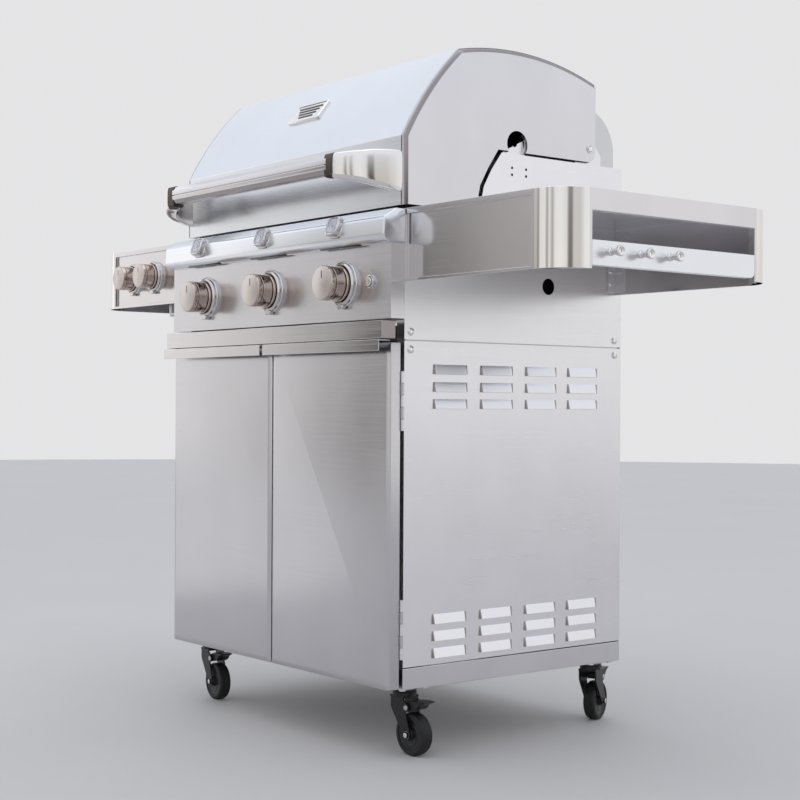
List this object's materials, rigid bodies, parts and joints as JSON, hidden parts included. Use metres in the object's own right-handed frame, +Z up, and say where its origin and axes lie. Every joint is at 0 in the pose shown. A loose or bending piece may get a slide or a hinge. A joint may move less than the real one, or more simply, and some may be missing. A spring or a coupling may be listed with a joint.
{
  "type": "gas barbecue grill",
  "caption": "Stainless gas barbecue grill on a closed cart with hinged hood, side burner shelf, tool shelf, drip tray and swivel casters.",
  "frame": {"origin": "on the floor under the middle of the whole grill's box", "axes": "+X to the user's right along the shelves, +Y to the back, +Z up"},
  "size_m": [1.55, 0.6654, 1.2701],
  "materials": {
    "stainless": "brushed stainless sheet",
    "stainless_light": "brushed stainless sheet, brighter",
    "polished": "polished stainless and chrome",
    "nickel": "warm brushed nickel",
    "galvanised": "plain steel",
    "enamel": "black porcelain enamel",
    "grate": "satin stainless grate bars",
    "brass": "brass gas fittings",
    "black_plastic": "satin black",
    "black_metal": "black painted steel",
    "wheel": "hard black rubber tread",
    "glass": "clear lens",
    "lamp": "dark lamp lens"
  },
  "bodies": {
    "cart": {"base_tray": "stainless", "side_panel_left": "stainless", "side_panel_right": "stainless", "back_panel": "galvanised", "tray_frame": "galvanised", "firebox_side_left": "stainless", "firebox_side_right": "stainless", "firebox": "enamel", "control_panel": "stainless", "visor": "stainless_light", "gauges": "polished", "gauge_glasses": "glass", "light_bars": "lamp", "knob_bezels": "polished", "manifold": "galvanised", "gas_valves": "brass", "burners": "galvanised", "emitter_plates": "galvanised", "cooking_grates": "grate", "warming_rack": "polished", "rear_guard": "stainless", "shelf_right": "stainless", "hook_rail": "stainless_light", "tool_hooks": "polished", "shelf_brackets": "galvanised", "shelf_left": "stainless", "side_burner_head": "enamel", "side_burner_grate": "grate", "panel_screws": "polished", "caster_plates": "galvanised"},
    "hood": {"hood_skin": "stainless_light", "hood_sides": "stainless", "hood_liner": "galvanised", "hood_handle": "polished", "handle_brackets": "polished", "hood_badge": "black_plastic"},
    "door_left": {"door_left": "stainless", "door_handle_left": "stainless_light"},
    "door_right": {"door_right": "stainless", "door_handle_right": "stainless_light"},
    "drip_tray": {"drip_tray": "polished"},
    "side_burner_cover": {"side_burner_cover": "stainless_light"},
    "knob_left": {"knob_left": "nickel"},
    "knob_centre": {"knob_centre": "nickel"},
    "knob_right": {"knob_right": "nickel"},
    "side_knob_outer": {"side_knob_outer": "nickel"},
    "side_knob_inner": {"side_knob_inner": "nickel"},
    "light_button": {"light_button": "polished"},
    "fork_front_left": {"fork_front_left": "black_metal"},
    "wheel_front_left": {"wheel_front_left": "wheel"},
    "pedal_front_left": {"pedal_front_left": "black_plastic"},
    "fork_front_right": {"fork_front_right": "black_metal"},
    "wheel_front_right": {"wheel_front_right": "wheel"},
    "pedal_front_right": {"pedal_front_right": "black_plastic"},
    "fork_rear_left": {"fork_rear_left": "black_metal"},
    "wheel_rear_left": {"wheel_rear_left": "wheel"},
    "pedal_rear_left": {"pedal_rear_left": "black_plastic"},
    "fork_rear_right": {"fork_rear_right": "black_metal"},
    "wheel_rear_right": {"wheel_rear_right": "wheel"},
    "pedal_rear_right": {"pedal_rear_right": "black_plastic"}
  },
  "joints": [
    {"name": "hood_hinge", "type": "hinge", "parent": "cart", "child": "hood", "pos_m": [-0.012, 0.21629, 1.109], "axis": [-1, 0, 0], "range_deg": [0, 80]},
    {"name": "door_left_hinge", "type": "hinge", "parent": "cart", "child": "door_left", "pos_m": [-0.383, -0.23971, 0.425], "axis": [0, 0, -1], "range_deg": [0, 110]},
    {"name": "door_right_hinge", "type": "hinge", "parent": "cart", "child": "door_right", "pos_m": [0.359, -0.23971, 0.425], "axis": [0, 0, 1], "range_deg": [0, 110]},
    {"name": "drip_tray_slide", "type": "slide", "parent": "cart", "child": "drip_tray", "axis": [0, -1, 0], "range_m": [0, 0.3]},
    {"name": "side_burner_cover_hinge", "type": "hinge", "parent": "cart", "child": "side_burner_cover", "pos_m": [-0.58, 0.15679, 0.954], "axis": [-1, 0, 0], "range_deg": [0, 95]},
    {"name": "knob_left_turn", "type": "hinge", "parent": "cart", "child": "knob_left", "pos_m": [-0.247, -0.26671, 0.832], "axis": [0, -1, 0], "range_deg": [0, 200]},
    {"name": "knob_centre_turn", "type": "hinge", "parent": "cart", "child": "knob_centre", "pos_m": [-0.012, -0.26671, 0.832], "axis": [0, -1, 0], "range_deg": [0, 200]},
    {"name": "knob_right_turn", "type": "hinge", "parent": "cart", "child": "knob_right", "pos_m": [0.223, -0.26671, 0.832], "axis": [0, -1, 0], "range_deg": [0, 200]},
    {"name": "side_knob_outer_turn", "type": "hinge", "parent": "cart", "child": "side_knob_outer", "pos_m": [-0.62, -0.23671, 0.894], "axis": [0, -1, 0], "range_deg": [0, 200]},
    {"name": "side_knob_inner_turn", "type": "hinge", "parent": "cart", "child": "side_knob_inner", "pos_m": [-0.529, -0.23671, 0.894], "axis": [0, -1, 0], "range_deg": [0, 200]},
    {"name": "light_button_press", "type": "slide", "parent": "cart", "child": "light_button", "axis": [0, 1, 0], "range_m": [0, 0.003], "stiffness_N_per_m": 400},
    {"name": "swivel_front_left", "type": "hinge", "parent": "cart", "child": "fork_front_left", "pos_m": [-0.338, -0.19571, 0.1], "axis": [0, 0, 1], "continuous": true},
    {"name": "roll_front_left", "type": "hinge", "parent": "fork_front_left", "child": "wheel_front_left", "pos_m": [-0.3121, -0.19798, 0.0375], "axis": [0.0872, 0.9962, 0], "continuous": true},
    {"name": "brake_front_left", "type": "hinge", "parent": "fork_front_left", "child": "pedal_front_left", "pos_m": [-0.31509, -0.19772, 0.085], "axis": [0.0872, 0.9962, 0], "range_deg": [0, 12]},
    {"name": "swivel_front_right", "type": "hinge", "parent": "cart", "child": "fork_front_right", "pos_m": [0.314, -0.19571, 0.1], "axis": [0, 0, 1], "continuous": true},
    {"name": "roll_front_right", "type": "hinge", "parent": "fork_front_right", "child": "wheel_front_right", "pos_m": [0.33996, -0.19435, 0.0375], "axis": [-0.0523, 0.9986, 0], "continuous": true},
    {"name": "brake_front_right", "type": "hinge", "parent": "fork_front_right", "child": "pedal_front_right", "pos_m": [0.33697, -0.19451, 0.085], "axis": [-0.0523, 0.9986, 0], "range_deg": [0, 12]},
    {"name": "swivel_rear_left", "type": "hinge", "parent": "cart", "child": "fork_rear_left", "pos_m": [-0.341, 0.26529, 0.1], "axis": [0, 0, 1], "continuous": true},
    {"name": "roll_rear_left", "type": "hinge", "parent": "fork_rear_left", "child": "wheel_rear_left", "pos_m": [-0.34552, 0.29089, 0.0375], "axis": [-0.9848, -0.1736, 0], "continuous": true},
    {"name": "brake_rear_left", "type": "hinge", "parent": "fork_rear_left", "child": "pedal_rear_left", "pos_m": [-0.34499, 0.28794, 0.085], "axis": [-0.9848, -0.1736, 0], "range_deg": [0, 12]},
    {"name": "swivel_rear_right", "type": "hinge", "parent": "cart", "child": "fork_rear_right", "pos_m": [0.317, 0.26529, 0.1], "axis": [0, 0, 1], "continuous": true},
    {"name": "roll_rear_right", "type": "hinge", "parent": "fork_rear_right", "child": "wheel_rear_right", "pos_m": [0.30643, 0.28904, 0.0375], "axis": [-0.9135, -0.4067, 0], "continuous": true},
    {"name": "brake_rear_right", "type": "hinge", "parent": "fork_rear_right", "child": "pedal_rear_right", "pos_m": [0.30765, 0.2863, 0.085], "axis": [-0.9135, -0.4067, 0], "range_deg": [0, 12]}
  ]
}
